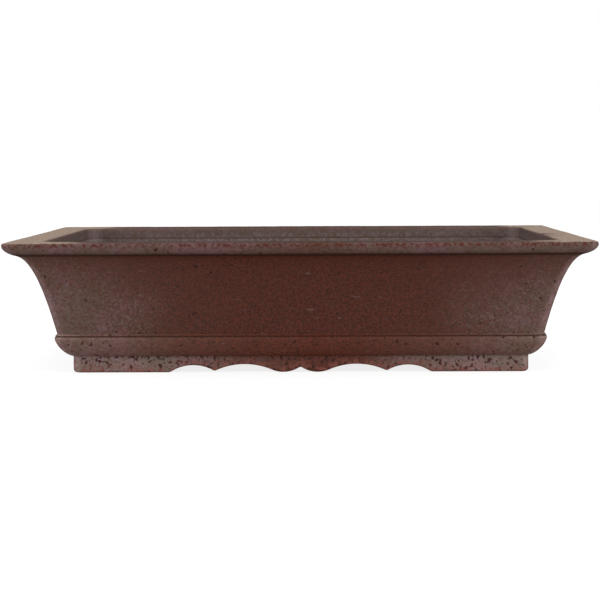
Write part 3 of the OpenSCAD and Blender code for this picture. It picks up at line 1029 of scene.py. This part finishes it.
class POT_OT_rim(bpy.types.Operator):
    """Make the four strips of the rim"""

    bl_idname = "pot.rim"
    bl_label = "Rim"

    def execute(self, context):
        sizes = context.scene.pot_sizes
        nose = (0, POT_H - 0.8 * sizes.lip_nose)
        # A rubbed red band along the lip's nose, and painted shade on the lip's underside
        make_strips("rim", rim_section(sizes), sizes, "rim_clay", "rim_stoneware",
                    rubbed=([nose], LIP_RUB), sunk=([UNDER_LIP], sizes.lip_shade))
        return {"FINISHED"}


class POT_OT_coils(bpy.types.Operator):
    """Make the coils worked into the inner corners and round the floor"""

    bl_idname = "pot.coils"
    bl_label = "Coils"

    def execute(self, context):
        sizes = context.scene.pot_sizes
        make_strips("floor_coil", floor_coil_section(sizes), sizes, "inner_clay", "inner_stoneware")
        for corner in CORNERS:
            piece = corner_coil(f"pot_corner_coil_{corner}", corner, sizes)
            finish_piece(piece, f"corner_coil_{corner}", "inner_clay")
        return {"FINISHED"}


def soft_box(name, place, aim, size, power):
    """An area light at a place, turned to what it lights"""
    data = bpy.data.lights.new(name, "AREA")
    data.shape = "RECTANGLE"
    data.size, data.size_y = size
    data.energy = power
    light = bpy.data.objects.new(name, data)
    light.location = place
    light.rotation_euler = (Vector(aim) - Vector(place)).to_track_quat("-Z", "Y").to_euler()
    bpy.context.scene.collection.objects.link(light)


class POT_OT_stage(bpy.types.Operator):
    """Make the pale floor, the soft light and the camera"""

    bl_idname = "pot.stage"
    bl_label = "Stage"

    def execute(self, context):
        scene = context.scene
        bpy.ops.mesh.primitive_plane_add(size=TABLE_SIZE, location=(0, 0, -0.05 * MM))
        table = context.object
        table.name = "stage_table"
        paint = bpy.data.materials.new("table_white")
        paint.use_nodes = True
        shader = paint.node_tree.nodes["Principled BSDF"]
        shader.inputs["Base Color"].default_value = (TABLE_GREY, TABLE_GREY, TABLE_GREY, 1)
        shader.inputs["Roughness"].default_value = 0.9
        shader.inputs["Emission Color"].default_value = (1, 1, 1, 1)
        shader.inputs["Emission Strength"].default_value = TABLE_GLOW
        table.data.materials.append(paint)
        table.visible_glossy = False

        world = bpy.data.worlds.new("studio")
        world.use_nodes = True
        tree = world.node_tree
        tree.nodes.clear()
        white = add(tree, "ShaderNodeBackground", {"Color": (1, 1, 1, 1), "Strength": 1.0})
        gloss = add(tree, "ShaderNodeBackground", {"Color": (1, 1, 1, 1), "Strength": SKY_IN_GLOSS})
        seen = add(tree, "ShaderNodeLightPath").outputs["Is Glossy Ray"]
        both = add(tree, "ShaderNodeMixShader", {0: seen, 1: white.outputs[0], 2: gloss.outputs[0]})
        add(tree, "ShaderNodeOutputWorld", {"Surface": both.outputs[0]})
        scene.world = world

        for name, (place, size, power) in LIGHTS.items():
            soft_box(name, place, (0, 0, POT_H / 2), size, power)

        lens = bpy.data.cameras.new("camera")
        lens.sensor_width = SENSOR
        lens.lens = LENS
        lens.clip_start, lens.clip_end = 0.01, 50
        camera = bpy.data.objects.new("camera", lens)
        camera.location = CAMERA_PLACE
        aimed = Euler((CAMERA_PITCH, 0, CAMERA_TURN)).to_matrix()
        rolled = Euler((0, 0, -CAMERA_ROLL)).to_matrix()
        camera.rotation_euler = (aimed @ rolled).to_euler()
        scene.collection.objects.link(camera)
        scene.camera = camera
        scene.view_settings.view_transform = "Standard"
        return {"FINISHED"}


class POT_PT_panel(bpy.types.Panel):
    """Lists the pot's pieces in the order they are made"""

    bl_idname = "POT_PT_panel"
    bl_label = "Bonsai pot"
    bl_space_type = "VIEW_3D"
    bl_region_type = "UI"
    bl_category = "Bonsai pot"

    def draw(self, context):
        """A button for each maker, then every size and colour"""
        for made in MAKERS:
            self.layout.operator(made.bl_idname)
        for settings in (context.scene.pot_sizes, context.scene.pot_colours):
            box = self.layout.box()
            for key in settings.__annotations__:
                box.prop(settings, key)


MAKERS = (POT_OT_materials, POT_OT_stage, POT_OT_feet, POT_OT_floor, POT_OT_belt, POT_OT_walls,
          POT_OT_rim, POT_OT_coils)
CLASSES = (PotSizes, PotColours, *MAKERS, POT_PT_panel)


def register():
    """Add the settings, the makers and the panel to Blender"""
    for made in CLASSES:
        bpy.utils.register_class(made)
    bpy.types.Scene.pot_sizes = PointerProperty(type=PotSizes)
    bpy.types.Scene.pot_colours = PointerProperty(type=PotColours)


def unregister():
    """Take them out of Blender again"""
    del bpy.types.Scene.pot_sizes
    del bpy.types.Scene.pot_colours
    for made in reversed(CLASSES):
        bpy.utils.unregister_class(made)


def main():
    """Make the whole pot"""
    register()
    bpy.ops.pot.materials()
    bpy.ops.pot.stage()
    bpy.ops.pot.feet()
    bpy.ops.pot.floor()
    bpy.ops.pot.belt()
    bpy.ops.pot.walls()
    bpy.ops.pot.rim()
    bpy.ops.pot.coils()


if __name__ == "__main__":
    main()
